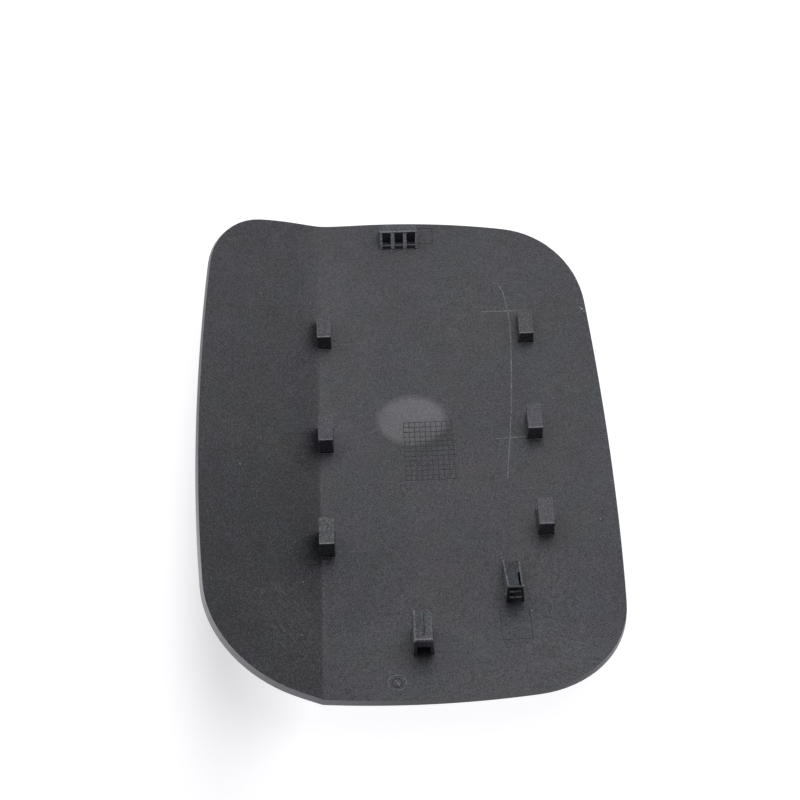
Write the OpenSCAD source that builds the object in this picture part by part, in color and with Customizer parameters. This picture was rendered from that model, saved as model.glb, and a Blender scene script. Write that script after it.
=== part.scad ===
// Fuel door skin, one moulding in black plastic, lying on its crowned outer face with the inner face up.
// X runs across the door, Y up its height, and the origin lies under the middle of its outline.

/* [Crowned panel] */
// Thickness of the moulding
wall = 2.5; // [1.6:0.1:3.4]
// Inner radius of the panel's crown along the door's height
crown_r = 264.7; // [250:0.1:280]
// Inner radius of the panel's crown across the door
cross_r = 800; // [600:10:1200]
// Lean of the top and bottom rims, which stand square to the crown
rim_lean = 20.5; // [19:0.1:22]
// Colour of the moulding
skin_colour = "#504f54"; // [#504f54, #2d2e32, #6b6a6e]

/* [Panel outline] */
// Reach of the right edge from the crown's low line
right_reach = 75.1; // [68:0.1:80]
// Radius of the right edge
right_r = 609; // [400:1:900]
// Place along the door where the right edge is widest
right_y = -2.3; // [-10:0.1:10]
// Reach of the top edge from the crown's low line
top_reach = 95.2; // [90:0.1:98]
// Radius of the top edge
top_r = 280; // [200:1:400]
// Place across the door where the top edge is highest
top_apex = -3.2; // [-8:0.1:4]
// Radius of the top right corner
top_corner_r = 35.2; // [20:0.1:45]
// Reach of the bottom edge from the crown's low line
bottom_reach = 96.8; // [92:0.1:99]
// Radius of the bottom edge
bottom_r = 465; // [250:1:600]
// Place across the door where the bottom edge is lowest
bottom_apex = 1.5; // [-6:0.1:4]
// Radius of the bottom right corner
bottom_corner_r = 35.8; // [18:0.1:42]

/* [Folded flap] */
// Place across the door of the crease between panel and flap
crease_x = -30.5; // [-36:0.1:-26]
// Angle that the flap rises from the panel
flap_bend = 30; // [24:0.1:36]
// Inner radius of the flap's crown along the door's height
flap_crown_r = 292; // [280:0.1:310]
// Width of the flap from the crease, at the crown's low line
flap_w = 47.6; // [40:0.1:54]
// Angle by which the flap's long edge spreads from the crease towards the top
flap_spread = 1.2; // [0:0.1:3]
// Drop of the flap's top edge below the reach of the panel's
flap_top_drop = 1.2; // [0:0.1:4]
// Radius of the flap's top edge
flap_top_r = 121; // [80:1:160]
// Distance from the crease of the highest point of the flap's top edge
flap_top_apex = 3; // [0:0.1:12]
// Radius of the flap's top corner
flap_top_corner_r = 22.7; // [12:0.1:28]
// How far the flap's bottom edge reaches past the panel's
flap_bottom_past = 0.5; // [0:0.1:2]
// Radius of the flap's bottom edge
flap_bottom_r = 121; // [80:1:160]
// Distance from the crease of the lowest point of the flap's bottom edge
flap_bottom_apex = -12.4; // [-18:0.1:0]
// Radius of the flap's bottom corner
flap_bottom_corner_r = 38; // [24:0.1:46]

/* [Block clips] */
// Width of a clip across the door
clip_w = 5.2; // [4.4:0.1:6.5]
// Length of a clip along the door
clip_l = 10.2; // [8:0.1:13]
// Thickness of a clip's roof
clip_roof = 1.8; // [1.2:0.1:2.4]
// Thickness of a clip's outer side wall
clip_side = 1.4; // [1:0.1:2]
// Thickness of a clip's stop wall
clip_stop = 2; // [1.2:0.1:3]
// Chamfer along the roof's front edge
clip_nose = 0.4; // [0.2:0.05:0.8]
// Distance from the crease to the middle of the left clips
left_clip_in = 2.4; // [0.5:0.1:6]
// Place along the door of the middle left clip
left_row_y = 8.8; // [2:0.1:14]
// Distance between the left clips
left_pitch = 42.8; // [36:0.1:50]
// Height of the top left clip over the skin at its stop
left_top_h = 7.8; // [6:0.1:11]
// Height of the middle left clip over the skin at its stop
left_mid_h = 9.2; // [7:0.1:12]
// Height of the bottom left clip over the skin at its stop
left_low_h = 9.9; // [7:0.1:13]
// Distance from the right edge to the middle of the right clips
right_clip_in = 27.1; // [22:0.1:32]
// Place along the door of the middle right clip
right_row_y = 11.1; // [4:0.1:16]
// Distance between the right clips
right_pitch = 39.9; // [34:0.1:46]
// Height of the top right clip over the skin at its stop
right_top_h = 6; // [5:0.1:9]
// Height of the middle right clip over the skin at its stop
right_mid_h = 7.7; // [6:0.1:10]
// Height of the bottom right clip over the skin at its stop
right_low_h = 8.2; // [6:0.1:11]

/* [Hooded hook] */
// Left side of the hood
hood_x = 0; // [-3:0.1:3]
// Distance from the bottom edge to the front of the hood
hood_in = 17.1; // [14:0.1:22]
// Width of the hood
hood_w = 5.9; // [5.7:0.1:7]
// Length of the hood
hood_l = 11.1; // [9:0.1:13]
// Height of the hood over the skin at its front
hood_h = 11; // [10:0.1:13]
// Width of the tunnel under the hood
tunnel_w = 4.4; // [4.2:0.05:4.9]
// Height of the tunnel under the hood
tunnel_h = 6.9; // [5.5:0.1:8]
// Chamfer along the hood's left shoulder
hood_bevel = 0.8; // [0.4:0.1:1.4]
// Radius of the hood's rear right corner
hood_round = 1.6; // [0.8:0.1:2.4]
// Width of the bead on the hood
bead_w = 0.9; // [0.6:0.05:1.4]
// Length of the bead on the hood
bead_l = 7; // [5:0.1:8]

/* [Snap latch] */
// Distance from the right edge to the left side of the latch
latch_from_right = 43.2; // [39:0.1:47]
// Distance from the bottom edge to the front of the latch
latch_in = 36.5; // [32:0.1:42]
// Width of the latch
latch_w = 6.1; // [5.4:0.1:7.4]
// Height of the latch over the skin at its front
latch_h = 12.5; // [11.5:0.1:14]
// Thickness of the latch's ladder
latch_t = 1.1; // [0.8:0.1:1.6]
// Width of a leg of the ladder
leg_w = 0.9; // [0.6:0.05:1.3]
// Height of the mouth under the ladder's lowest bar
mouth_h = 3.2; // [2.4:0.1:3.8]
// Thickness of the ladder's lowest bar
low_bar = 1.4; // [1:0.1:2]
// Height of the ladder's lower window
low_window = 2.8; // [2:0.1:3.4]
// Thickness of the ladder's middle bar
mid_bar = 1.7; // [1:0.1:2]
// Height of the ladder's upper window
top_window = 1.7; // [1:0.1:2]
// Thickness of a gusset behind the ladder
gusset_t = 0.7; // [0.5:0.05:1]
// Length of a gusset along the door
gusset_l = 17.5; // [14:0.1:21]
// Size of the nub on the side of a leg
nub = 0.9; // [0.5:0.1:1.4]

/* [Locating box] */
// Left side of the box
box_x = -5.4; // [-9:0.1:-2]
// Distance from the top edge to the back of the box
box_in = 3.5; // [2:0.1:6]
// Width of a cell of the box
cell_w = 3.45; // [3:0.05:4]
// Thickness of the box's end fins
end_fin = 0.75; // [0.6:0.05:1.2]
// Thickness of the box's middle fins
mid_fin = 1.1; // [0.8:0.05:1.6]
// Height of the box over the skin at its front
box_h = 7.2; // [6:0.1:8.5]
// Length of the box along the door
box_l = 6.4; // [5.6:0.1:7.4]
// Length of the slope at the front of the box
slope_l = 3; // [2:0.1:4]
// Height of the sill at the front of the cells
sill_h = 1.3; // [0.8:0.1:2]
// Thickness of the sill
sill_t = 0.7; // [0.5:0.05:1]

/* [Hidden] */
$fn = 48;
rows = [-1, 0, 1];              // rows of clips, from the bottom up
left_heights = [left_low_h, left_mid_h, left_top_h];
right_heights = [right_low_h, right_mid_h, right_top_h];
left_clip_x = crease_x + left_clip_in;
right_clip_x = right_reach - right_clip_in;
hood_y = hood_in - bottom_reach;
latch_x = right_reach - latch_from_right;
latch_y = latch_in - bottom_reach;
box_y = top_reach - box_in - box_l;
flap_top_reach = top_reach - flap_top_drop;
flap_bottom_reach = bottom_reach + flap_bottom_past;
cells = 3;                      // cells of the locating box
over = 1;                       // reach of a cutter past the face that it opens
drum_sides = 360;               // facets of the drums that carry the crowns
side_steps = 6;                 // steps along the right edge's arc
corner_steps = 14;              // steps round a corner's arc
edge_steps = 10;                // steps along an end edge's arc
drum_w = 120;                   // half the length of a drum
far = 400;                      // reach of the cutters past the door
deep = 30;                      // reach of the cutters below the crown
root = wall / 2;                // how far the clips' feet run into the skin
lap = 0.05;                     // overlap of the panel's and the flap's cutters at the crease
low = -10;                      // start of the clips, under the skin before their feet are cut
crease_z = barrel_z(crease_x, 0);
left_reach = -crease_x + flap_w * cos(flap_bend) + wall * sin(flap_bend);
outer_share = (crown_r + wall) / crown_r;
// from the middle of the outline to the crown's lowest point
centre = [(left_reach - right_reach) / 2, (bottom_reach - top_reach) * outer_share / 2, wall];

// distance from the panel's drum axis to its inner face
function barrel_r(x) = crown_r - cross_r + sqrt(pow(cross_r, 2) - pow(x, 2));
// height of the panel's inner face
function barrel_z(x, y) = crown_r - sqrt(pow(barrel_r(x), 2) - pow(y, 2));
// height of the flap's inner face over its own low plane
function flap_z(y) = flap_crown_r - sqrt(pow(flap_crown_r, 2) - pow(y, 2));
// the crease at a place along the door, as its x and z
function crease_at(y) =
    let(z = barrel_z(crease_x, y), s = (z - crease_z - cos(flap_bend) * flap_z(y)) / sin(flap_bend))
    [crease_x - cos(flap_bend) * s + sin(flap_bend) * flap_z(y), z];
// a reach along the crown, measured in the plane square to a leaning rim
function leaned(reach, r) = r * sin(asin(reach / r) - rim_lean);
// the upper crossing of two circles
function crossing(c1, r1, c2, r2) =
    let(d = norm(c2 - c1), u = (c2 - c1) / d, a = (pow(r1, 2) - pow(r2, 2) + pow(d, 2)) / (2 * d))
    c1 + a * u + sqrt(pow(r1, 2) - pow(a, 2)) * [-u[1], u[0]] * (c1[0] > c2[0] ? -1 : 1);
function heading(from, to) = atan2(to[1] - from[1], to[0] - from[0]);

// a drum whose underside has the panel's two crowns
module panel_drum(grow) {
    translate([0, 0, crown_r]) rotate([0, -90, 0]) rotate_extrude($fn = drum_sides)
        intersection() {
            translate([crown_r - cross_r, 0]) circle(r = cross_r + grow, $fn = 2 * drum_sides);
            translate([0, -drum_w]) square([crown_r + grow + over, 2 * drum_w]);
        }
}

// the flap's own frame: its crease at the origin, the flap towards -X
module flap_frame() {
    translate([crease_x, 0, crease_z]) rotate([0, flap_bend, 0]) children();
}

// a drum whose underside has the flap's crown
module flap_drum(grow) {
    flap_frame() translate([0, 0, flap_crown_r]) rotate([0, -90, 0])
        cylinder(r = flap_crown_r + grow, h = 2 * far, center = true, $fn = drum_sides);
}

// everything above the creased skin, grown downwards by a share of its wall
module above(grow) {
    intersection() {
        panel_drum(grow);
        flap_drum(grow);
    }
}

// points along an arc, without its last one
function arc(c, r, a0, a1, steps) =
    [for (i = [0 : steps - 1]) let(a = a0 + (a1 - a0) * i / steps) c + r * [cos(a), sin(a)]];

// half of the panel's outline: the right edge, the corner and an end edge as far as the crease
module panel_half(reach, r, apex, corner_r, side_y) {
    edge = [apex, leaned(reach, crown_r) - r];
    side = [right_reach - right_r, leaned(side_y, crown_r)];
    corner = crossing(edge, r - corner_r, side, right_r - corner_r);
    last = 90 + asin((apex - crease_x) / r);
    polygon(concat(
        [[right_reach, -far]],
        arc(side, right_r, 0, heading(side, corner), side_steps),
        arc(corner, corner_r, heading(side, corner), heading(edge, corner), corner_steps),
        arc(edge, r, heading(edge, corner), last, edge_steps),
        [edge + r * [cos(last), sin(last)], [-far, edge[1] + r * sin(last)], [-far, -far]]));
}

// half of the flap's outline, with the flap towards +X
module flap_half(reach, r, apex, corner_r, spread) {
    edge = [apex, leaned(reach, flap_crown_r) - r];
    corner_x = flap_w - corner_r;
    corner = [corner_x, edge[1] + sqrt(pow(r - corner_r, 2) - pow(corner_x - apex, 2))];
    last = 90 + asin(apex / r);
    pivot = [0, leaned(0, flap_crown_r)];
    translate(pivot) rotate(-spread) translate(-pivot)
        polygon(concat(
            [[flap_w, -far]],
            arc(corner, corner_r, 0, heading(edge, corner), corner_steps),
            arc(edge, r, heading(edge, corner), last, edge_steps),
            [edge + r * [cos(last), sin(last)], [-far, edge[1] + r * sin(last)], [-far, -far]]));
}

// a plate outside a half outline, leaned square to a rim
module rim_cutter(r) {
    translate([0, 0, r]) rotate([rim_lean, 0, 0]) translate([0, 0, -r - deep])
        linear_extrude(height = far / 2)
            difference() {
                square(2 * far, center = true);
                children();
            }
}

// one side of the plane that halves the bend at an end of the crease
module crease_side(y, side) {
    at = crease_at(y);
    translate([at[0], 0, at[1]]) rotate([0, flap_bend / 2, 0])
        translate([side > 0 ? -lap : lap - far, -far, -far]) cube([far, 2 * far, 2 * far]);
}

// cuts the panel and the flap to their outlines at one end of the door
module trim_end(end) {
    reach = end > 0 ? top_reach : bottom_reach;
    mirror([0, end > 0 ? 0 : 1, 0]) {
        intersection() {
            crease_side(reach, 1);
            rim_cutter(crown_r)
                if (end > 0)
                    panel_half(top_reach, top_r, top_apex, top_corner_r, right_y);
                else
                    panel_half(bottom_reach, bottom_r, bottom_apex, bottom_corner_r, -right_y);
        }
        intersection() {
            crease_side(reach, -1);
            flap_frame() mirror([1, 0, 0]) rim_cutter(flap_crown_r)
                if (end > 0)
                    flap_half(flap_top_reach, flap_top_r, flap_top_apex, flap_top_corner_r, flap_spread);
                else
                    flap_half(flap_bottom_reach, flap_bottom_r, flap_bottom_apex, flap_bottom_corner_r,
                        -flap_spread);
        }
    }
}

// the creased, crowned skin with its rims
module skin() {
    difference() {
        intersection() {
            above(wall);
            translate([-drum_w, -drum_w, -deep]) cube([2 * drum_w, 2 * drum_w, drum_w]);
        }
        above(0);
        for (end = [-1, 1]) trim_end(end);
    }
}

// a profile in Y and Z drawn out along X from x to x + w
module across(x, w) {
    translate([x, 0, 0]) rotate([90, 0, 90]) linear_extrude(height = w) children();
}

// a clip with a roof, an outer side wall and a stop wall at its front, open towards the middle of the door
module clip(x, y, h, open) {
    front = y - clip_l / 2;
    top = barrel_z(x, front) + h;
    pocket_x = x - clip_w / 2 + (open > 0 ? clip_side : -over);
    difference() {
        across(x - clip_w / 2, clip_w)
            polygon([[front, low], [front, top - clip_nose], [front + clip_nose, top],
                [front + clip_l, top], [front + clip_l, low]]);
        translate([pocket_x, front + clip_stop, low - over])
            cube([clip_w - clip_side + over, clip_l, top - clip_roof - low + over]);
    }
}

// the hooded hook with its tunnel, bead, left shoulder and rounded rear corner
module hood() {
    z0 = barrel_z(hood_x, hood_y);
    top = z0 + hood_h;
    right = hood_x + hood_w;
    rear = hood_y + hood_l;
    side = (hood_w - tunnel_w) / 2;
    difference() {
        translate([0, rear, 0]) rotate([90, 0, 0]) linear_extrude(height = hood_l)
            polygon([[hood_x, low], [hood_x, top - hood_bevel], [hood_x + hood_bevel, top],
                [right, top], [right, low]]);
        translate([hood_x + side, hood_y - over, low - over])
            cube([tunnel_w, hood_l + 2 * over, z0 + tunnel_h - low + over]);
        translate([right - hood_round, rear - hood_round, low - over]) difference() {
            cube([far, far, far]);
            translate([0, 0, -over]) cylinder(r = hood_round, h = far + 2 * over);
        }
    }
    translate([hood_x + hood_w / 2, rear - bead_w, top]) {
        rotate([90, 0, 0]) cylinder(d = bead_w, h = bead_l);
        for (end = [0, -bead_l]) translate([0, end, 0]) sphere(d = bead_w);
    }
}

// the snap latch: a ladder of bars on two legs, with a gusset behind each leg
module latch() {
    z0 = barrel_z(latch_x, latch_y);
    top = z0 + latch_h;
    right = latch_x + latch_w;
    window_w = latch_w - 2 * leg_w;
    low_window_z = z0 + mouth_h + low_bar;
    top_window_z = low_window_z + low_window + mid_bar;
    difference() {
        translate([latch_x, latch_y, low]) cube([latch_w, latch_t, top - low]);
        translate([latch_x + leg_w, latch_y - over, 0]) {
            translate([0, 0, low - over]) cube([window_w, latch_t + 2 * over, z0 + mouth_h - low + over]);
            translate([0, 0, low_window_z]) cube([window_w, latch_t + 2 * over, low_window]);
            translate([0, 0, top_window_z]) cube([window_w, latch_t + 2 * over, top_window]);
        }
    }
    for (x = [latch_x, right - gusset_t]) across(x, gusset_t)
        polygon([[latch_y, low], [latch_y, top], [latch_y + latch_t, top],
            [latch_y + gusset_l, barrel_z(x, latch_y + gusset_l) - root], [latch_y + gusset_l, low]]);
    for (at = [[latch_x, z0 + mouth_h + low_bar / 2], [right, low_window_z + low_window]])
        translate([at[0] - nub, latch_y, at[1] - nub]) cube([2 * nub, latch_t, 2 * nub]);
}

// the locating box: three cells between sloping fins, with a sill at the front and a block behind
module locating_box() {
    z0 = barrel_z(0, box_y);
    top = z0 + box_h;
    pitch = cell_w + mid_fin;
    box_w = cells * pitch - mid_fin + 2 * end_fin;
    back = box_y + slope_l;
    difference() {
        across(box_x, box_w)
            polygon([[box_y, low], [box_y, z0 + sill_h], [back, top],
                [box_y + box_l, top], [box_y + box_l, low]]);
        for (i = [0 : cells - 1]) translate([box_x + end_fin + i * pitch, 0, 0]) {
            translate([0, box_y + sill_t, low - over]) cube([cell_w, slope_l - sill_t, far]);
            translate([0, box_y - over, z0 + sill_h]) cube([cell_w, slope_l + over, far]);
        }
    }
}

module door_skin() {
    color(skin_colour) translate(centre) {
        skin();
        intersection() {
            above(root);
            union() {
                for (row = rows) {
                    clip(left_clip_x, left_row_y + row * left_pitch, left_heights[row + 1], 1);
                    clip(right_clip_x, right_row_y + row * right_pitch, right_heights[row + 1], -1);
                }
                hood();
                latch();
                locating_box();
            }
        }
    }
}

door_skin();
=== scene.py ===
import math

import bmesh
import bpy
from mathutils import Matrix, Vector


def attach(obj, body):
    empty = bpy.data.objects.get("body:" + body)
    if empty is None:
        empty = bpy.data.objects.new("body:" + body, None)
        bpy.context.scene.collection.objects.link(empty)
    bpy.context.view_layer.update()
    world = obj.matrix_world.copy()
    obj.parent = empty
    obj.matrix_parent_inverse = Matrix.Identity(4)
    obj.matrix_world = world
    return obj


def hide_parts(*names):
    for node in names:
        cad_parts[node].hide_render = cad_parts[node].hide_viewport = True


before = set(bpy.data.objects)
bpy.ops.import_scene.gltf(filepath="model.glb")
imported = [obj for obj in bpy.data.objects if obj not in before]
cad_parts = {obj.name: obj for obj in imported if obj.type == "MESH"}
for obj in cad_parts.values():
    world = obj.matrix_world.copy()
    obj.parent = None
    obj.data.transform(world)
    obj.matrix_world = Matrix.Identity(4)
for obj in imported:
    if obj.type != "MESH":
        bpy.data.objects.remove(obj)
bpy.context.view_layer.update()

mm = 0.001               # every size below is in millimetres, and finished pieces are scaled by this
body = "root"
weld = 1e-4              # points closer than this are joined
near = 0.01              # points closer than this to a plane lie on it
clear = 1.0              # how far a cutter runs past what it cuts
steep, upward = 0.3, 0.2     # lean of a face's normal from which it counts as facing sideways or up

# The skin: a crowned panel and a flap folded up along the crease
skin = {
    "wall": 2.47,
    "crownR": 264.7,     # inner radius of the panel's crown, bottom to top
    "crossR": 800.0,     # inner radius of the panel's crown, side to side
    "creaseX": -30.5,
    "bend": math.radians(30.0),
    "flapCrownR": 292.0,
    "flapWidth": 47.57,
    "flapSpread": math.radians(1.2),
    "rimLean": math.radians(20.5),
    "rightReach": 74.84,
    "rightR": 609.0,
    "rightY": -2.3,      # where the right edge is widest
    # the crease is sharp below and softer towards the top: where that starts and over what length
    "creaseSoft": {"low": 0.25, "high": 3.6, "from": 10.0, "over": 75.0, "sunk": 0.15},
    "creaseGap": 0.4,    # rim points closer to the crease than this are left out
    "ring": 1.2,         # border of clean faces along the rim
    "cell": 3.0,         # size of the faces inside it
    "creaseCell": 0.5,   # size of the faces beside the crease
    "creaseBand": (-34.0, -26.0),
    "cellsRight": 33, "cellsLeft": 13, "cellsUp": 33,    # cuts to the sides of the band, up and down
    "rimStep": 3.0,      # spacing of the points along the rim
    "rimRound": 0.45,
}
panelEnds = {
    1: {"reach": 95.15, "r": 280.0, "apex": -3.2, "corner": 35.2},
    -1: {"reach": 96.75, "r": 465.0, "apex": 1.5, "corner": 35.8},
}
flapEnds = {
    1: {"reach": 94.0, "r": 121.0, "apex": 3.0, "corner": 22.7},
    -1: {"reach": 97.3, "r": 121.0, "apex": -12.4, "corner": 38.0},
}
footDepth = skin["wall"] / 2     # how far a foot runs into the skin
sinBend, cosBend = math.sin(skin["bend"]), math.cos(skin["bend"])


def barrelR(x):
    return skin["crownR"] - skin["crossR"] + math.sqrt(skin["crossR"] ** 2 - x * x)


def panelZ(x, y):
    return skin["crownR"] - math.sqrt(barrelR(x) ** 2 - y * y)


def flapRise(y):
    return skin["flapCrownR"] - math.sqrt(skin["flapCrownR"] ** 2 - y * y)


creaseZ = panelZ(skin["creaseX"], 0)


def flapZ(x, y):
    along = (skin["creaseX"] - x + sinBend * flapRise(y)) / cosBend
    return creaseZ + sinBend * along + cosBend * flapRise(y)


def skinZ(x, y):         # the panel and the flap, blended softly towards the top of the crease
    crease = skin["creaseSoft"]
    share = min(max((y - crease["from"]) / crease["over"], 0), 1)
    soft = crease["low"] + (crease["high"] - crease["low"]) * share * share
    panel, flap = panelZ(x, y), flapZ(x, y)
    return (panel + flap + math.sqrt((panel - flap) ** 2 + soft ** 2) - soft * crease["sunk"]) / 2


crownPlace = Vector((-1.065, 0.808, 2.5))    # place of the panel's lowest inner point in the CAD frame
toFrame = Matrix.Scale(mm, 4) @ Matrix.Translation(crownPlace)


def arcPoints(c, r, a0, a1, step):
    count = max(2, round(abs(a1 - a0) * r / step))
    return [(c[0] + r * math.cos(a0 + (a1 - a0) * i / count), c[1] + r * math.sin(a0 + (a1 - a0) * i / count))
            for i in range(count + 1)]


def leaned(reach, r):
    return r * math.sin(math.asin(reach / r) - skin["rimLean"])


def panelRim(end):       # plan points from the middle of the right edge round the corner to the crease
    e = panelEnds[end]
    edge = Vector((e["apex"], leaned(e["reach"], skin["crownR"]) - e["r"]))
    side = Vector((skin["rightReach"] - skin["rightR"], leaned(end * skin["rightY"], skin["crownR"])))
    r1, r2 = e["r"] - e["corner"], skin["rightR"] - e["corner"]
    gap = side - edge
    d = gap.length
    a = (r1 ** 2 - r2 ** 2 + d ** 2) / (2 * d)
    u = gap / d
    corner = edge + a * u - math.sqrt(r1 ** 2 - a ** 2) * Vector((-u.y, u.x))
    a0 = math.atan2(corner.y - side.y, corner.x - side.x)
    a1 = math.atan2(corner.y - edge.y, corner.x - edge.x)
    last = math.pi / 2 + math.asin((e["apex"] - skin["creaseX"]) / e["r"])
    flat = arcPoints(side, skin["rightR"], 0, a0, skin["rimStep"])[:-1]
    flat += arcPoints(corner, e["corner"], a0, a1, skin["rimStep"])[:-1]
    flat += arcPoints(edge, e["r"], a1, last, skin["rimStep"])
    plan = []
    for x, lean in flat:
        turn = skin["rimLean"] + math.asin(lean / barrelR(x))
        plan.append((x, end * barrelR(x) * math.sin(turn)))
    return plan


def flapRim(end):        # plan points from the middle of the flap's long edge round its corner to the crease
    e = flapEnds[end]
    edge = Vector((e["apex"], leaned(e["reach"], skin["flapCrownR"]) - e["r"]))
    cornerX = skin["flapWidth"] - e["corner"]
    corner = Vector((cornerX, edge.y + math.sqrt((e["r"] - e["corner"]) ** 2 - (cornerX - e["apex"]) ** 2)))
    a1 = math.atan2(corner.y - edge.y, corner.x - edge.x)
    last = math.pi / 2 + math.asin(e["apex"] / e["r"])
    middle = leaned(0, skin["flapCrownR"])
    count = round((corner.y - middle) / skin["rimStep"])
    flat = [(skin["flapWidth"], middle + (corner.y - middle) * i / count) for i in range(count)]
    flat += arcPoints(corner, e["corner"], 0, a1, skin["rimStep"])[:-1]
    flat += arcPoints(edge, e["r"], a1, last, skin["rimStep"])
    turnBy = Matrix.Rotation(-end * skin["flapSpread"], 2)
    plan = []
    for s, lean in flat:
        s, lean = turnBy @ Vector((s, lean - middle)) + Vector((0, middle))
        turn = skin["rimLean"] + math.asin(lean / skin["flapCrownR"])
        y = end * skin["flapCrownR"] * math.sin(turn)
        plan.append((skin["creaseX"] - cosBend * s + sinBend * flapRise(y), y))
    return plan


def creaseEnd(y):        # place across the door of the crease at y
    along = (panelZ(skin["creaseX"], y) - creaseZ - cosBend * flapRise(y)) / sinBend
    return skin["creaseX"] - cosBend * along + sinBend * flapRise(y)


def rimOutline():        # the whole rim in plan, counter-clockwise from the middle of the right edge
    rim = {}
    for end in (1, -1):
        panel, flap = panelRim(end), flapRim(end)
        split = creaseEnd(end * panelEnds[end]["reach"])
        panel = [p for p in panel if p[0] > split + skin["creaseGap"]]
        flap = [p for p in flap if p[0] < split - skin["creaseGap"]]
        (x0, y0), (x1, y1) = panel[-2:]
        y = y1 + (y1 - y0) / (x1 - x0) * (split - x1)
        rim[end] = panel + [(split, y)] + flap[::-1]
    return rim[1] + rim[-1][::-1][1:-1]


def pieceFrom(bm, name, material, smooth=True, recalc=True):
    if recalc:
        bmesh.ops.recalc_face_normals(bm, faces=bm.faces)
    bmesh.ops.transform(bm, matrix=toFrame, verts=bm.verts)
    mesh = bpy.data.meshes.new(name)
    bm.to_mesh(mesh)
    bm.free()
    for polygon in mesh.polygons:
        polygon.use_smooth = smooth
    piece = bpy.data.objects.new(name, mesh)
    bpy.context.scene.collection.objects.link(piece)
    piece.data.materials.append(material)
    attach(piece, body)
    return piece


# The rounded edges can take another plastic: a painted highlight on the clips, hook and latch, painted shade
# along the skin's rim
def addBevel(piece, width, segments=2, angle=40, paintedLight=None):
    bevel = piece.modifiers.new("edges", "BEVEL")
    if paintedLight:
        piece.data.materials.append(paintedLight)
        bevel.material = len(piece.data.materials) - 1
    bevel.width = width * mm
    bevel.segments = segments
    bevel.limit_method = "ANGLE"
    bevel.angle_limit = math.radians(angle)
    bevel.harden_normals = True
    bevel.use_clamp_overlap = True


def makeSkin(material, rimMaterial, edgeMaterial):
    bm = bmesh.new()
    rim = bm.faces.new([bm.verts.new((x, y, 0)) for x, y in rimOutline()])
    bmesh.ops.inset_region(bm, faces=[rim], thickness=skin["ring"], use_even_offset=True)
    inner = max(bm.faces, key=lambda f: f.calc_area())
    inner.material_index = 1
    low, high = skin["creaseBand"]
    cell, creaseCell = skin["cell"], skin["creaseCell"]
    columns = [low + creaseCell * i for i in range(round((high - low) / creaseCell) + 1)]
    columns += [high + cell * (i + 1) for i in range(skin["cellsRight"])]
    columns += [low - cell * (i + 1) for i in range(skin["cellsLeft"])]
    rows = [cell * i for i in range(-skin["cellsUp"], skin["cellsUp"] + 1)]
    for axis, places in (((1, 0, 0), columns), ((0, 1, 0), rows)):
        for place in places:
            inside = [f for f in bm.faces if f.material_index == 1]
            edges = list({e for f in inside for e in f.edges})
            corners = list({v for f in inside for v in f.verts})
            bmesh.ops.bisect_plane(bm, geom=inside + edges + corners, plane_co=Vector(axis) * place,
                                   plane_no=axis, dist=weld)
    for f in bm.faces:
        f.material_index = 0
    for v in bm.verts:
        v.co.z = skinZ(v.co.x, v.co.y)
    for f in bm.faces:
        if f.normal.z < 0:
            f.normal_flip()
    piece = pieceFrom(bm, "doorSkin", material, recalc=False)
    wall = piece.modifiers.new("wall", "SOLIDIFY")
    wall.thickness = skin["wall"] * mm
    wall.offset = -1
    wall.use_even_offset = True
    piece.data.materials.append(rimMaterial)
    wall.material_offset_rim = 1
    # painted shade: the rim's rounded edges take rimLine, a dark plastic
    addBevel(piece, skin["rimRound"], segments=3, angle=50, paintedLight=edgeMaterial)
    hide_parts("door_skin")


def addBox(bm, low, high):
    made = bmesh.ops.create_cube(bm, size=1)["verts"]
    size = [b - a for a, b in zip(low, high)]
    middle = [(a + b) / 2 for a, b in zip(low, high)]
    bmesh.ops.scale(bm, vec=size, verts=made)
    bmesh.ops.translate(bm, vec=middle, verts=made)
    return made


def drawOut(bm, faces, by):              # extrudes faces by a vector
    drawn = bmesh.ops.extrude_face_region(bm, geom=faces)["geom"]
    bmesh.ops.translate(bm, vec=by, verts=[g for g in drawn if isinstance(g, bmesh.types.BMVert)])


def addAcross(bm, profile, x, width):    # a Y-Z profile drawn out along X
    face = bm.faces.new([bm.verts.new((x, y, z)) for y, z in profile])
    drawOut(bm, [face], (width, 0, 0))


def roundEdges(bm, width, segments, **places):   # bevels the edges that lie at the given x, y or z
    edges = [e for e in bm.edges
             if all(abs(getattr(v.co, axis) - at) < near for v in e.verts for axis, at in places.items())]
    bmesh.ops.bevel(bm, geom=edges, offset=width, segments=segments, affect="EDGES", profile=0.5, material=-1)


def paintFaces(bm, index, chosen):       # another of the piece's materials on the faces with chosen normals
    bm.normal_update()
    for f in bm.faces:
        if chosen(f.normal):
            f.material_index = index


def carved(bm, cutters):  # the closed mesh bm with the boxes in cutters taken away
    def asObject(b, name):
        bmesh.ops.recalc_face_normals(b, faces=b.faces)
        mesh = bpy.data.meshes.new(name)
        b.to_mesh(mesh)
        b.free()
        made = bpy.data.objects.new(name, mesh)
        bpy.context.scene.collection.objects.link(made)
        return made
    block = asObject(bm, "block")
    tools = []
    for low, high in cutters:
        tool = bmesh.new()
        addBox(tool, low, high)
        tools.append(asObject(tool, "tool"))
        cut = block.modifiers.new("cut", "BOOLEAN")
        cut.operation = "DIFFERENCE"
        cut.solver = "EXACT"
        cut.object = tools[-1]
    result = bmesh.new()
    result.from_object(block, bpy.context.evaluated_depsgraph_get())
    for o in [block] + tools:
        mesh = o.data
        bpy.data.objects.remove(o)
        bpy.data.meshes.remove(mesh)
    bmesh.ops.remove_doubles(result, verts=result.verts, dist=weld)
    return result


lowZ = -10.0             # where walls start before their feet are set into the skin


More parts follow.
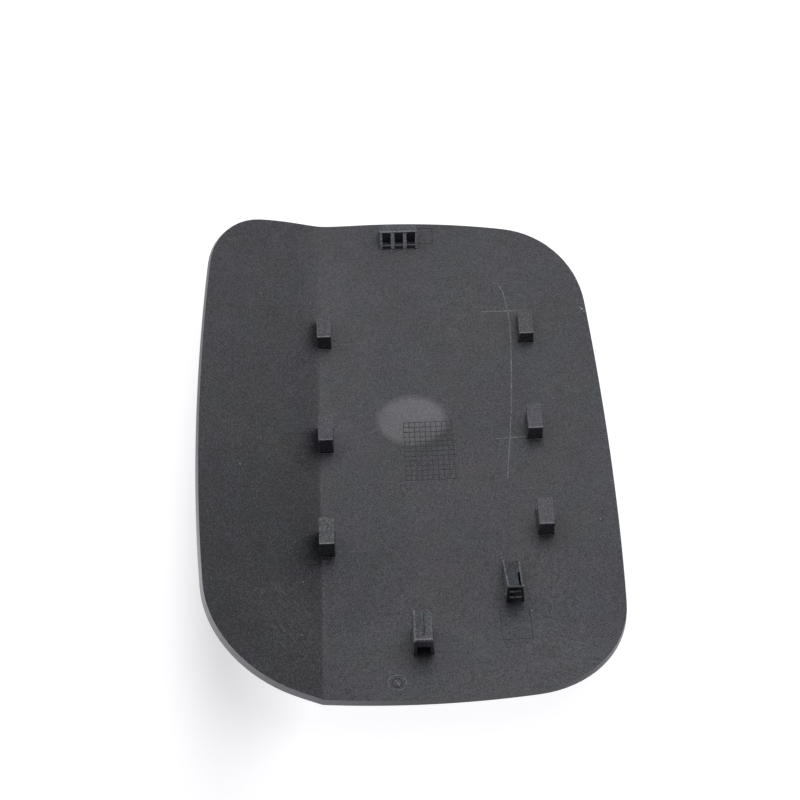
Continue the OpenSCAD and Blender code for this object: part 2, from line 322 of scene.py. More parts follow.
# Stands the lowest points inside the skin's wall, then leans the walls and widens them towards their feet
def setFeet(bm, height, left=0.0, lean=0.0, spread=0.0):
    for v in bm.verts:
        if v.co.z < lowZ + near:
            v.co.z = skinZ(v.co.x, v.co.y) - footDepth
        low = min(max(1 - (v.co.z - skinZ(v.co.x, v.co.y)) / height, 0), 1)
        v.co.x += (lean + (v.co.x - left) * spread) * low


# Small fillets where the walls of the clips, hook, latch and box meet the skin
feet = {"radius": 0.4, "ribRadius": 0.25, "steps": 4, "sunk": 0.6, "cell": 2.0}


def addFoot(bm, x0, x1, y0, y1, radius):
    rows = math.ceil((y1 - y0) / feet["cell"])
    made = bmesh.ops.create_grid(bm, x_segments=1, y_segments=rows, size=0.5)["verts"]
    bmesh.ops.scale(bm, vec=(x1 - x0, y1 - y0, 1), verts=made)
    bmesh.ops.translate(bm, vec=((x0 + x1) / 2, (y0 + y1) / 2, 0), verts=made)
    region = {f for v in made for f in v.link_faces}
    for i in range(feet["steps"]):
        ring = bmesh.ops.inset_region(bm, faces=list(region), thickness=radius / feet["steps"],
                                      use_boundary=True, use_outset=True, use_even_offset=True)
        region.update(ring["faces"])
    for v in {v for f in region for v in f.verts}:
        out = min(max(x0 - v.co.x, v.co.x - x1, y0 - v.co.y, v.co.y - y1, 0), radius)
        rise = radius - math.sqrt(radius ** 2 - (radius - out) ** 2)
        v.co.z = skinZ(v.co.x, v.co.y) + rise
    drawOut(bm, list(region), (0, 0, -feet["sunk"]))


# Painted highlights: pale lines along front edges
brow = {"proud": 0.06, "depth": 0.4, "drop": 0.25, "inset": 0.1}


def addBrow(bm, x0, x1, y, top):
    low = (x0 + brow["inset"], y - brow["proud"], top - brow["drop"])
    high = (x1 - brow["inset"], y + brow["depth"], top + brow["proud"])
    addBox(bm, low, high)


def addStrip(bm, start, end, width, rise):   # a low rib on the skin from start to end
    run = Vector(end) - Vector(start)
    count = max(1, round(run.length / feet["cell"]))
    made = bmesh.ops.create_grid(bm, x_segments=count, y_segments=1, size=0.5)["verts"]
    bmesh.ops.scale(bm, vec=(run.length, width, 1), verts=made)
    bmesh.ops.rotate(bm, cent=(0, 0, 0), matrix=Matrix.Rotation(math.atan2(run.y, run.x), 3, "Z"), verts=made)
    bmesh.ops.translate(bm, vec=((start[0] + end[0]) / 2, (start[1] + end[1]) / 2, 0), verts=made)
    for v in made:
        v.co.z = skinZ(v.co.x, v.co.y) + rise
    faces = list({f for v in made for f in v.link_faces})
    drawOut(bm, faces, (0, 0, -feet["sunk"]))


# Six clips: roofs on an outer wall and a stop, open towards the middle of the door
clips = {
    "width": 5.2, "length": 10.2, "roof": 1.8, "side": 1.4, "stop": 2.0, "nose": 0.15, "round": 0.3,
    "footLine": {"before": 0.35, "width": 0.25, "rise": 0.12},
    "left": {"x": -28.1, "y": 8.8, "pitch": 42.8, "heights": (9.9, 9.2, 7.8), "open": 1, "draft": 0.0,
             "longer": (0, 0, 0)},
    "right": {"x": 48.0, "y": 11.1, "pitch": 39.9, "heights": (8.2, 7.7, 6.0), "open": -1, "draft": 0.65,
              "longer": (0, 0, 0.7)},
}


def makeClip(name, x, y, height, longer, column, material, paintedLight, footing, brows):
    front = y - clips["length"] / 2
    rear = front + clips["length"] + longer
    top = panelZ(x, front) + height
    left = x - clips["width"] / 2
    bm = bmesh.new()
    addAcross(bm, [(front, lowZ), (front, top - clips["nose"]), (front + clips["nose"], top), (rear, top),
                   (rear, lowZ)], left, clips["width"])
    cutLeft, cutRight = left + clips["side"], left + clips["width"] + clear
    if column["open"] < 0:
        cutLeft, cutRight = left - clear, left + clips["width"] - clips["side"]
    pocketLow = (cutLeft, front + clips["stop"], lowZ - clear)
    pocketHigh = (cutRight, rear + clear, top - clips["roof"])
    bm = carved(bm, [(pocketLow, pocketHigh)])
    setFeet(bm, height, left, spread=column["draft"] / clips["width"])
    piece = pieceFrom(bm, name, material)
    # painted highlight on the rounded edges
    addBevel(piece, clips["round"], 2, 30, paintedLight)
    addFoot(footing, left, left + clips["width"] + column["draft"], front, rear, feet["radius"])
    # painted highlights: a pale line along the front top edge and one on the skin before the front foot
    addBrow(brows, left, left + clips["width"], front + clips["nose"], top)
    line = clips["footLine"]
    footY = front - line["before"]
    addStrip(brows, (left, footY), (left + clips["width"], footY), line["width"], line["rise"])


# The hooded hook with its tunnel and the bead on its roof
hood = {
    "left": -0.45, "right": 5.8, "y": -79.45, "length": 10.7, "height": 11.3, "draft": 0.85,
    "tunnel": (0.6, 4.75), "tunnelHeight": 6.3, "tunnelDraft": 0.68, "web": 1.0,
    "shoulder": 0.8, "rearRound": 1.7, "noseRound": 0.9, "browBack": 0.63, "round": 0.3,
    "footLine": {"before": 0.5, "past": 0.3, "width": 0.3, "rise": 0.15},
    "bead": {"x": 2.85, "y": (-76.7, -70.0), "width": 0.9},
}


def makeHood(material, paintedLight, dark, footing, brows):
    z0 = panelZ(0, hood["y"])
    top = z0 + hood["height"]
    left, right = hood["left"], hood["right"]
    front, rear = hood["y"], hood["y"] + hood["length"]
    mouthLeft, mouthRight = hood["tunnel"]
    bm = bmesh.new()
    addBox(bm, (left, front, lowZ), (right, rear, top))
    roundEdges(bm, hood["rearRound"], 5, x=right, y=rear)
    roundEdges(bm, hood["shoulder"], 2, x=left, z=top)
    roundEdges(bm, hood["noseRound"], 4, y=front, z=top)
    tunnelLow = (mouthLeft, front - clear, lowZ - clear)
    tunnelHigh = (mouthRight, rear - hood["web"], z0 + hood["tunnelHeight"])
    bm = carved(bm, [(tunnelLow, tunnelHigh)])
    setFeet(bm, hood["height"], left, spread=hood["draft"] / (right - left))
    bmesh.ops.recalc_face_normals(bm, faces=bm.faces)
    # painted light: the left faces take the paler plastic
    paintFaces(bm, 1, lambda n: n.x < -steep)
    piece = pieceFrom(bm, "hoodedHook", material)
    # painted highlight on the rounded edges
    addBevel(piece, hood["round"], 2, 40, paintedLight)
    addFoot(footing, left, mouthLeft, front, rear, feet["ribRadius"])
    footLeft, footRight = mouthRight + hood["tunnelDraft"], right + hood["draft"]
    addFoot(footing, footLeft, footRight, front, rear, feet["ribRadius"])

    # painted highlights: a pale line along the roof's front and one at the right foot
    addBrow(brows, left + hood["shoulder"] / 2, right, front + hood["browBack"], top)
    line = hood["footLine"]
    footY = front - line["before"]
    addStrip(brows, (right, footY), (footRight + line["past"], footY), line["width"], line["rise"])

    bead = hood["bead"]
    low, high = bead["y"]
    bm = bmesh.new()
    made = bmesh.ops.create_uvsphere(bm, u_segments=16, v_segments=10, radius=bead["width"] / 2)["verts"]
    bmesh.ops.translate(bm, vec=(0, low - high, 0), verts=[v for v in made if v.co.y < 0])
    bmesh.ops.translate(bm, vec=(bead["x"], high, top), verts=bm.verts)
    # painted light and shade: the bead's left side is pale and its right side dark
    paintFaces(bm, 1, lambda n: n.x < -steep)
    paintFaces(bm, 2, lambda n: n.x > steep)
    piece = pieceFrom(bm, "hoodBead", material)
    piece.data.materials.append(paintedLight)
    piece.data.materials.append(dark)


# The snap latch: a ladder on two legs, with a ramp between two rails behind it
latch = {
    "left": 31.55, "right": 36.65, "y": -60.3, "height": 12.05, "thick": 0.6, "leg": 0.9,
    "bars": ((3.9, 4.6), (8.4, 9.1), (11.4, 12.05)),
    "ledges": ((4.35, 0.55), (8.85, 0.42)), "ledgeHalf": 0.15,   # height and reach of each ledge
    "lap": 0.2,                          # how far rails and ledges run into the ladder
    "lean": 0.4, "spread": 1.1, "rails": ((0.6, 17.5), (0.5, 16.2)), "tailSunk": 0.1,
    "ramp": {"sunk": 0.45, "thick": 0.9, "tail": 16.0, "lap": 0.1},
    "slot": {"width": 0.65, "length": 8.6, "from": 0.3},
    "nubs": ((31.35, 5.2), (36.85, 11.5)), "nub": {"half": 0.45, "front": 0.05, "back": 0.3, "round": 0.24},
    "round": 0.12,
}


def makeLatch(material, paintedLight, pale, dark, footing):
    z0 = panelZ(latch["left"], latch["y"])
    height = latch["height"]
    top = z0 + height
    left, right = latch["left"], latch["right"]
    front, back = latch["y"], latch["y"] + latch["thick"]
    x0, x1 = left + latch["leg"], right - latch["leg"]
    leaning = {"left": left, "lean": latch["lean"], "spread": latch["spread"] / (right - left)}
    lap, tailSunk = latch["lap"], latch["tailSunk"]
    edges = [lowZ - clear - z0] + [z for bar in latch["bars"] for z in bar]
    windows = [((x0, front - clear, z0 + low), (x1, back + clear, z0 + high))
               for low, high in zip(edges[::2], edges[1::2])]
    bm = bmesh.new()
    addBox(bm, (left, front, lowZ), (right, back, top))
    bm = carved(bm, windows)
    setFeet(bm, height, **leaning)
    # painted shade: the ladder is made in the dark plastic, with painted highlights on its rounded edges
    ladder = pieceFrom(bm, "latchLadder", dark)
    addBevel(ladder, latch["round"], 2, 40, paintedLight)

    bm = bmesh.new()
    leftRail, rightRail = latch["rails"]
    for x, (thick, length) in ((left, leftRail), (right - rightRail[0], rightRail)):
        tail = panelZ(x, front + length)
        addAcross(bm, [(back - lap, lowZ), (back - lap, top), (back, top), (front + length, tail - tailSunk),
                       (front + length, lowZ)], x, thick)
        footX = x + latch["lean"]
        addFoot(footing, footX, footX + thick, front, front + length, feet["ribRadius"])
    setFeet(bm, height, **leaning)
    bmesh.ops.recalc_face_normals(bm, faces=bm.faces)
    # painted light: the rails' tops and left faces take the paler plastic, with painted highlights on their
    # edges
    paintFaces(bm, 1, lambda n: n.z > upward or n.x < -steep)
    rails = pieceFrom(bm, "latchRails", material)
    addBevel(rails, latch["round"], 2, 40, paintedLight)

    # painted highlight: the ledges are made in a much paler plastic
    bm = bmesh.new()
    half = latch["ledgeHalf"]
    for z, out in latch["ledges"]:
        addBox(bm, (x0 - lap, front - out, z0 + z - half), (x1 + lap, front + lap, z0 + z + half))
    setFeet(bm, height, **leaning)
    ledges = pieceFrom(bm, "latchLedges", pale)
    addBevel(ledges, latch["round"], 2, 40)

    ramp, slot = latch["ramp"], latch["slot"]
    lap = ramp["lap"]
    x0, x1 = left + leftRail[0] - lap, right - rightRail[0] + lap
    tailY = front + ramp["tail"]
    tail = panelZ(x0, tailY) - tailSunk
    bm = bmesh.new()
    addAcross(bm, [(back - lap, top - ramp["sunk"] - ramp["thick"]), (back - lap, top - ramp["sunk"]),
                   (tailY, tail), (tailY, tail - ramp["thick"])], x0, x1 - x0)
    slotLow = (x1 - lap - slot["width"], back + slot["from"], lowZ)
    slotHigh = (x1 + clear, back + slot["length"], top + clear)
    bm = carved(bm, [(slotLow, slotHigh)])
    setFeet(bm, height, **leaning)
    pieceFrom(bm, "latchRamp", material, smooth=False)

    bm = bmesh.new()
    nub = latch["nub"]
    half = nub["half"]
    for x, z in latch["nubs"]:
        addBox(bm, (x - half, front + nub["front"], z0 + z - half),
               (x + half, back + nub["back"], z0 + z + half))
    # painted light: the nubs are made in the paler plastic
    nubs = pieceFrom(bm, "latchNubs", paintedLight)
    addBevel(nubs, nub["round"], 3, 40)


# The locating box: three cells between sloping fins, closed at the back, with a lip along the top
box = {
    "x": -5.65, "y": 85.3, "cell": 3.3, "endFin": 0.95, "midFin": 1.4, "cells": 3,
    "height": 7.2, "length": 6.4, "slope": 3.0, "toe": 0.5, "round": 0.33,
    "sill": {"height": 2.0, "thick": 0.4, "back": 0.5, "lap": 0.5},
    "lip": {"before": 0.3, "behind": 0.5, "rise": 0.2, "sunk": 0.3, "round": 0.15},
    "footLine": {"before": 0.3, "width": 0.4, "rise": 0.15},
}


def makeLocatingBox(material, paintedLight, pale, footing, brows):
    z0 = panelZ(0, box["y"])
    top = z0 + box["height"]
    front, back, rear = box["y"], box["y"] + box["slope"], box["y"] + box["length"]
    pitch = box["cell"] + box["midFin"]
    width = box["cells"] * pitch - box["midFin"] + 2 * box["endFin"]
    sill, line, lip = box["sill"], box["footLine"], box["lip"]
    bm = bmesh.new()
    addAcross(bm, [(front, lowZ), (front, z0 + box["toe"]), (back, top), (rear, top), (rear, lowZ)],
              box["x"], width)
    sillFront = front + sill["back"]
    cutters = []
    for i in range(box["cells"]):
        x0 = box["x"] + box["endFin"] + i * pitch
        x1 = x0 + box["cell"]
        cutters.append(((x0, front - clear, lowZ - clear), (x1, sillFront, top + clear)))
        cutters.append(((x0, sillFront - sill["lap"], z0 + sill["height"]), (x1, back, top + clear)))
        cutters.append(((x0, sillFront + sill["thick"], lowZ - clear), (x1, back, top + clear)))
        # painted highlight: a pale line along each sill
        addBrow(brows, x0, x1, sillFront, z0 + sill["height"])
    # painted highlights: a pale line on the skin before each fin's foot
    for i in range(box["cells"] + 1):
        x0 = box["x"] + i * pitch - (box["midFin"] - box["endFin"] if i else 0)
        x1 = x0 + (box["endFin"] if i in (0, box["cells"]) else box["midFin"])
        footY = front - line["before"]
        addStrip(brows, (x0, footY), (x1, footY), line["width"], line["rise"])
    bm = carved(bm, cutters)
    setFeet(bm, box["height"])
    bmesh.ops.recalc_face_normals(bm, faces=bm.faces)
    # painted light: the fins' fronts, facing forward and up, take a much paler plastic
    paintFaces(bm, 1, lambda n: n.y < -steep and n.z > upward)
    piece = pieceFrom(bm, "locatingBox", material)
    piece.data.materials.append(paintedLight)
    addBevel(piece, box["round"], 2, 25)
    piece.modifiers["edges"].material = 0
    addFoot(footing, box["x"], box["x"] + width, back, rear, feet["ribRadius"])

    # painted highlight: the lip is made in the pale plastic
    bm = bmesh.new()
    addBox(bm, (box["x"], back - lip["before"], top - lip["sunk"]),
           (box["x"] + width, back + lip["behind"], top + lip["rise"]))
    addBevel(pieceFrom(bm, "boxLip", pale), lip["round"], 2, 40)


# Marks that the mould left: slide lines, crease line, engraved grid, two outlines and a date clock
marks = {
    "rise": 0.05, "width": 0.36, "fine": 0.2,
    "crease": {"from": -94.0, "to": -10.0, "steps": 7, "beside": 0.35},
    "slideLines": [                      # from and to, beside the clips
        ((32.1, 59.3), (45.6, 58.9)), ((34.1, 6.9), (45.1, 6.9)), ((-25.3, 46.6), (-24.7, 46.6)),
    ],
    "faintLines": [                      # from and to, beside the clips, the hook and the box
        ((-25.5, 47.9), (-12.4, 48.3)), ((-25.5, 19.5), (-20.0, 19.5)), ((-25.4, 6.0), (-19.2, 6.0)),
        ((-25.5, -37.4), (-12.1, -37.4)), ((33.3, 21.1), (40.0, 21.1)), ((37.8, -33.5), (44.4, -33.5)),
        ((7.2, -75.8), (10.8, -75.8)), ((5.7, -61.4), (7.7, -61.4)), ((-7.2, 86.6), (-6.3, 84.4)),
        ((-5.8, 91.6), (-5.8, 93.4)),
    ],
    "grid": {"x": 0.4, "y": 15.2, "pitch": 2.0, "columns": 10, "rows": 13,
             "rise": 0.03, "rowRise": 0.036},
    "outlines": [                        # across and up, of an insert below the latch and a pad by the box
        ((29.4, 39.3), (-75.2, -63.9)), ((9.1, 14.8), (87.4, 93.0)),
    ],
    "clock": {"x": -6.05, "y": -90.0, "outer": 3.1, "inner": 1.8, "ring": 0.35, "rise": 0.12,
              "steps": 32, "round": 0.05, "pointer": {"half": 0.22, "short": 0.5, "turn": 35}},
}

# Scratches as lines of points, and dust as places and widths
wear = {
    "scratchWidth": 0.32, "scratchRise": 0.03,
    "clearScratches": [
        [(37.3, 70.5), (39.2, 70.3), (40.9, 67.0), (41.8, 61.6), (42.5, 57.7), (42.8, 52.0), (42.5, 43.5),
         (41.4, 26.6), (40.5, 17.1), (39.3, 6.8), (38.0, -2.3), (37.0, -9.8)],
    ],
    "faintScratches": [
        [(37.6, 86.1), (41.6, 88.2), (45.8, 88.3)],
        [(54.9, 78.3), (58.6, 76.8), (62.3, 74.5)],
        [(3.1, 71.4), (5.5, 73.3), (8.2, 74.7)],
        [(32.8, -93.0), (34.5, -88.5), (35.0, -93.0)],
    ],
    "dust": [
        (1.5, 9.3, 0.35), (3.2, 6.3, 0.3), (14.2, 32.8, 0.3), (67.9, -29.2, 0.4), (32.1, -42.5, 0.4),
        (40.1, -64.4, 0.4), (-36.5, -50.9, 0.4), (-36.6, -72.0, 0.35), (-51.1, 62.3, 0.4), (-37.0, 33.5, 0.35),
        (-33.1, 64.0, 0.35), (-57.9, -8.5, 0.5), (69.2, 69.6, 0.5), (70.5, 57.5, 0.8), (71.2, 56.6, 0.5),
        (69.9, 58.2, 0.5),
    ],
    "dustFlat": 0.4,
}


def makeMarks(pale, faint, dark):
    for name, material in (("slideLines", pale), ("faintLines", faint)):
        bm = bmesh.new()
        for start, end in marks[name]:
            addStrip(bm, start, end, marks["width"], marks["rise"])
        pieceFrom(bm, name, material, smooth=False)

    crease = marks["crease"]
    start, length, steps = crease["from"], crease["to"] - crease["from"], crease["steps"]
    places = [start + length * i / steps for i in range(steps + 1)]
    bm = bmesh.new()
    for low, high in zip(places, places[1:]):
        addStrip(bm, (creaseEnd(low) + crease["beside"], low), (creaseEnd(high) + crease["beside"], high),
                 marks["fine"], marks["rise"])
    pieceFrom(bm, "creaseLine", faint, smooth=False)

    grid = marks["grid"]
    bm = bmesh.new()
    right = grid["x"] + (grid["columns"] - 1) * grid["pitch"]
    low = grid["y"] - (grid["rows"] - 1) * grid["pitch"]
    for i in range(grid["columns"]):
        x = grid["x"] + i * grid["pitch"]
        addStrip(bm, (x, low), (x, grid["y"]), marks["fine"], grid["rise"])
    for i in range(grid["rows"]):
        y = low + i * grid["pitch"]
        addStrip(bm, (grid["x"], y), (right, y), marks["fine"], grid["rowRise"])
    pieceFrom(bm, "engravedGrid", dark)

    bm = bmesh.new()
    for (x0, x1), (y0, y1) in marks["outlines"]:
        sides = (((x0, y0), (x1, y0)), ((x0, y1), (x1, y1)), ((x0, y0), (x0, y1)), ((x1, y0), (x1, y1)))
        for start, end in sides:
            addStrip(bm, start, end, marks["fine"], grid["rise"])
    pieceFrom(bm, "insertOutlines", dark)


def makeClock(pale, dark):               # a ring, a turning disc in it and a plain pointer
    clock = marks["clock"]
    rings = (("clockRing", clock["outer"], pale), ("clockDisc", clock["inner"], dark))
    for name, outside, material in rings:
        inside = outside - clock["ring"]
        bm = bmesh.new()
        profile = [bm.verts.new((r, 0, z)) for r, z in ((inside, -feet["sunk"]), (inside, clock["rise"]),
                                                        (outside, clock["rise"]), (outside, -feet["sunk"]))]
        edges = [bm.edges.new((profile[i], profile[(i + 1) % 4])) for i in range(4)]
        bmesh.ops.spin(bm, geom=profile + edges, cent=(0, 0, 0), axis=(0, 0, 1), angle=math.tau,
                       steps=clock["steps"], use_merge=True)
        finishClock(bm, name, material)
    bm = bmesh.new()
    pointer = clock["pointer"]
    half, reach = pointer["half"], clock["inner"] - pointer["short"]
    addBox(bm, (-half, -reach, -feet["sunk"]), (half, reach, clock["rise"]))
    turned = Matrix.Rotation(math.radians(pointer["turn"]), 3, "Z")
    bmesh.ops.rotate(bm, cent=(0, 0, 0), matrix=turned, verts=bm.verts)
    finishClock(bm, "clockPointer", pale)


def finishClock(bm, name, material):
    clock = marks["clock"]
    for v in bm.verts:
        v.co.x += clock["x"]
        v.co.y += clock["y"]
        v.co.z += skinZ(v.co.x, v.co.y)
    addBevel(pieceFrom(bm, name, material), clock["round"], 2, 40)


def makeWear(pale, faint, white):
    for name, material in (("clearScratches", pale), ("faintScratches", faint)):
        bm = bmesh.new()
        for line in wear[name]:
            for start, end in zip(line, line[1:]):
                addStrip(bm, start, end, wear["scratchWidth"], wear["scratchRise"])
        pieceFrom(bm, name, material, smooth=False)
    bm = bmesh.new()
    for x, y, width in wear["dust"]:
        made = bmesh.ops.create_icosphere(bm, subdivisions=2, radius=width / 2)["verts"]
        bmesh.ops.scale(bm, vec=(1, 1, wear["dustFlat"]), verts=made)
        bmesh.ops.translate(bm, vec=(x, y, skinZ(x, y)), verts=made)
    pieceFrom(bm, "dust", white)


# The grain of the spark-eroded mould: size, detail and strength of each layer of noise
grain = {
    "layers": ((2300, 1, 1.3), (700, 2, 0.30), (120, 2, 0.13), (38, 3, 0.13)),
    "range": (0.32, 0.68),               # part of the noise's range that is used
    "tint": {"size": 60, "detail": 1, "share": 0.2},
    "relief": {"size": 2400, "detail": 2, "strength": 0.6, "distance": 0.00006},
}
tones = {
    "plastic": (0.0290, 0.0297, 0.0385), "pale": (0.0310, 0.0305, 0.0330),
    "roughness": 0.5, "specular": 0.35,
}

# Painted light: the flap's rim is paler towards its lower corner, a painted reflection of the pale floor
rimPatches = {
    "rimLow": {"at": (-62.0, -72.0), "radii": (42.0, 50.0), "soft": 0.8, "lift": 9.0},
}

# Painted shade: the lower flap is darker than the panel up to the crease
paintedShades = {
    "flapLow": {"at": (-54.0, -62.0), "radii": (60.0, 88.0), "soft": 0.9, "lift": -0.6, "leftOf": -30.0},
}

# Rubbed, flushed and dusty places, painted light on the flap's top, and places lighter towards the top and
# bottom edges: soft ellipses, some of them turned by an angle or broken into streaks
patches = {
    "blush": {"at": (3.7, 16.0), "radii": (12.3, 9.8), "soft": 0.2, "lift": 3.1},
    "blushEye": {"at": (-4.5, 16.6), "radii": (2.6, 3.2), "soft": 0.7, "lift": -0.7},
    "cloud": {"at": (47.0, -52.0), "radii": (5.5, 13.0), "angle": -8, "soft": 0.6, "lift": 1.0,
              "streaks": (2.0, 3.0)},
    "scuffLeft": {"at": (-42.0, -65.0), "radii": (9.0, 15.0), "angle": 36, "soft": 0.6, "lift": 1.8,
                  "streaks": (14.0, 1.2)},
    "scuffRight": {"at": (48.0, -82.0), "radii": (17.0, 14.0), "angle": -30, "soft": 0.5, "lift": 1.1,
                   "streaks": (2.0, 9.0)},
    # painted light: the flap is lighter towards its top
    "flapTop": {"at": (-52.0, 62.0), "radii": (34.0, 62.0), "soft": 0.9, "lift": 0.5},
    "blushLow": {"at": (6.5, 9.5), "radii": (9.0, 4.5), "soft": 0.8, "lift": -1.1},
    # lighter towards the bottom edge and towards the top edge
    "lowEdge": {"at": (22.0, -99.0), "radii": (62.0, 34.0), "soft": 0.9, "lift": 0.85},
    "topEdge": {"at": (22.0, 92.0), "radii": (54.0, 36.0), "soft": 0.9, "lift": 0.5},
}
streaky = {"size": 2.0, "detail": 4, "range": (0.45, 0.7)}   # noise that breaks a patch into streaks
patchDepth = 1000.0      # a patch reaches through the whole height of the part
patchSide = 0.5          # softness of the side at which a patch is cut off


def newGroup(name, sockets):
    group = bpy.data.node_groups.new(name, "ShaderNodeTree")
    for socketName, direction, kind in sockets:
        group.interface.new_socket(name=socketName, in_out=direction, socket_type="NodeSocket" + kind)
    given = group.nodes.new("NodeGroupInput")
    result = group.nodes.new("NodeGroupOutput")
    return group, given, result


def feed(links, socket, value):          # a plain number, or the output that a link comes from
    if isinstance(value, (int, float)):
        socket.default_value = value
    else:
        links.new(value, socket)


def combine(nodes, links, operation, first, second):
    node = nodes.new("ShaderNodeMath")
    node.operation = operation
    feed(links, node.inputs[0], first)
    feed(links, node.inputs[1], second)
    return node.outputs[0]


def mapped(nodes, links, value, low, high, toLow, toHigh, kind="LINEAR"):
    node = nodes.new("ShaderNodeMapRange")
    node.interpolation_type = kind
    links.new(value, node.inputs["Value"])
    for socketName, limit in (("From Min", low), ("From Max", high), ("To Min", toLow), ("To Max", toHigh)):
        feed(links, node.inputs[socketName], limit)
    return node.outputs["Result"]


def lengthOf(nodes, links, vector):
    node = nodes.new("ShaderNodeVectorMath")
    node.operation = "LENGTH"
    links.new(vector, node.inputs[0])
    return node.outputs["Value"]


def ellipseSpace(nodes, links, place):   # coordinates in which an ellipse is the circle of radius 1
    node = nodes.new("ShaderNodeMapping")
    node.vector_type = "TEXTURE"
    links.new(place, node.inputs["Vector"])
    return node


def noiseAt(nodes, links, vector, scale, detail):
    node = nodes.new("ShaderNodeTexNoise")
    node.inputs["Scale"].default_value = scale
    node.inputs["Detail"].default_value = detail
    links.new(vector, node.inputs["Vector"])
    return node


def makeGrainGroup():    # Tone is a factor around 1, Tint a faint cast, Normal the grain's relief
    group, given, result = newGroup("mouldGrain", [
        ("Contrast", "INPUT", "Float"), ("Tone", "OUTPUT", "Float"), ("Tint", "OUTPUT", "Color"),
        ("Normal", "OUTPUT", "Vector")])
    nodes, links = group.nodes, group.links
    place = nodes.new("ShaderNodeTexCoord").outputs["Object"]
    total = None
    for scale, detail, strength in grain["layers"]:
        noise = noiseAt(nodes, links, place, scale, detail)
        layer = mapped(nodes, links, noise.outputs["Fac"], *grain["range"], -strength, strength)
        total = layer if total is None else combine(nodes, links, "ADD", total, layer)
    scaled = combine(nodes, links, "MULTIPLY", total, given.outputs["Contrast"])
    links.new(combine(nodes, links, "ADD", scaled, 1.0), result.inputs["Tone"])
    tint, relief = grain["tint"], grain["relief"]
    cast = noiseAt(nodes, links, place, tint["size"], tint["detail"])
    soften = nodes.new("ShaderNodeMix")
    soften.data_type = "RGBA"
    soften.inputs["Factor"].default_value = tint["share"]
    soften.inputs["A"].default_value = (0.5, 0.5, 0.5, 1)
    links.new(cast.outputs["Color"], soften.inputs["B"])
    links.new(soften.outputs["Result"], result.inputs["Tint"])
    fine = noiseAt(nodes, links, place, relief["size"], relief["detail"])
    bump = nodes.new("ShaderNodeBump")
    bump.inputs["Strength"].default_value = relief["strength"]
    bump.inputs["Distance"].default_value = relief["distance"]
    links.new(fine.outputs["Fac"], bump.inputs["Height"])
    links.new(bump.outputs["Normal"], result.inputs["Normal"])
    return group


def makePatchGroup():    # Mask falls from 1 to 0 across the edge of a turned ellipse
    group, given, result = newGroup("softPatch", [
        ("Centre", "INPUT", "Vector"), ("Turn", "INPUT", "Vector"), ("Radii", "INPUT", "Vector"),
        ("Inner", "INPUT", "Float"), ("Outer", "INPUT", "Float"), ("Mask", "OUTPUT", "Float")])
    nodes, links = group.nodes, group.links
    local = ellipseSpace(nodes, links, nodes.new("ShaderNodeTexCoord").outputs["Object"])
    for outside, inside in (("Centre", "Location"), ("Turn", "Rotation"), ("Radii", "Scale")):
        links.new(given.outputs[outside], local.inputs[inside])
    distance = lengthOf(nodes, links, local.outputs["Vector"])
    mask = mapped(nodes, links, distance, given.outputs["Inner"], given.outputs["Outer"], 1, 0, "SMOOTHSTEP")
    links.new(mask, result.inputs["Mask"])
    return group


mouldGrain = makeGrainGroup()
softPatch = makePatchGroup()


def patchLift(nodes, links, place, patch):
    centre = toFrame @ Vector((*patch["at"], 0))
    location = (centre.x, centre.y, 0)
    rotation = (0, 0, math.radians(patch.get("angle", 0)))
    radii = (patch["radii"][0] * mm, patch["radii"][1] * mm, patchDepth)
    spot = nodes.new("ShaderNodeGroup")
    spot.node_tree = softPatch
    spot.inputs["Centre"].default_value = location
    spot.inputs["Turn"].default_value = rotation
    spot.inputs["Radii"].default_value = radii
    spot.inputs["Inner"].default_value = 1 - patch["soft"]
    spot.inputs["Outer"].default_value = 1 + patch["soft"]
    mask = spot.outputs["Mask"]
    if "streaks" in patch:
        local = ellipseSpace(nodes, links, place)
        local.inputs["Location"].default_value = location
        local.inputs["Rotation"].default_value = rotation
        local.inputs["Scale"].default_value = radii
        stretch = nodes.new("ShaderNodeMapping")
        stretch.inputs["Scale"].default_value = (*patch["streaks"], 1)
        links.new(local.outputs["Vector"], stretch.inputs["Vector"])
        noise = noiseAt(nodes, links, stretch.outputs["Vector"], streaky["size"], streaky["detail"])
        broken = mapped(nodes, links, noise.outputs["Fac"], *streaky["range"], 0, 1)
        mask = combine(nodes, links, "MULTIPLY", mask, broken)
    if "leftOf" in patch:
        across = nodes.new("ShaderNodeSeparateXYZ")
        links.new(place, across.inputs[0])
        limit = patch["leftOf"] + crownPlace.x
        side = mapped(nodes, links, across.outputs["X"], (limit - patchSide) * mm, (limit + patchSide) * mm,
                      1, 0, "SMOOTHSTEP")
        mask = combine(nodes, links, "MULTIPLY", mask, side)
    return combine(nodes, links, "MULTIPLY", mask, patch["lift"])


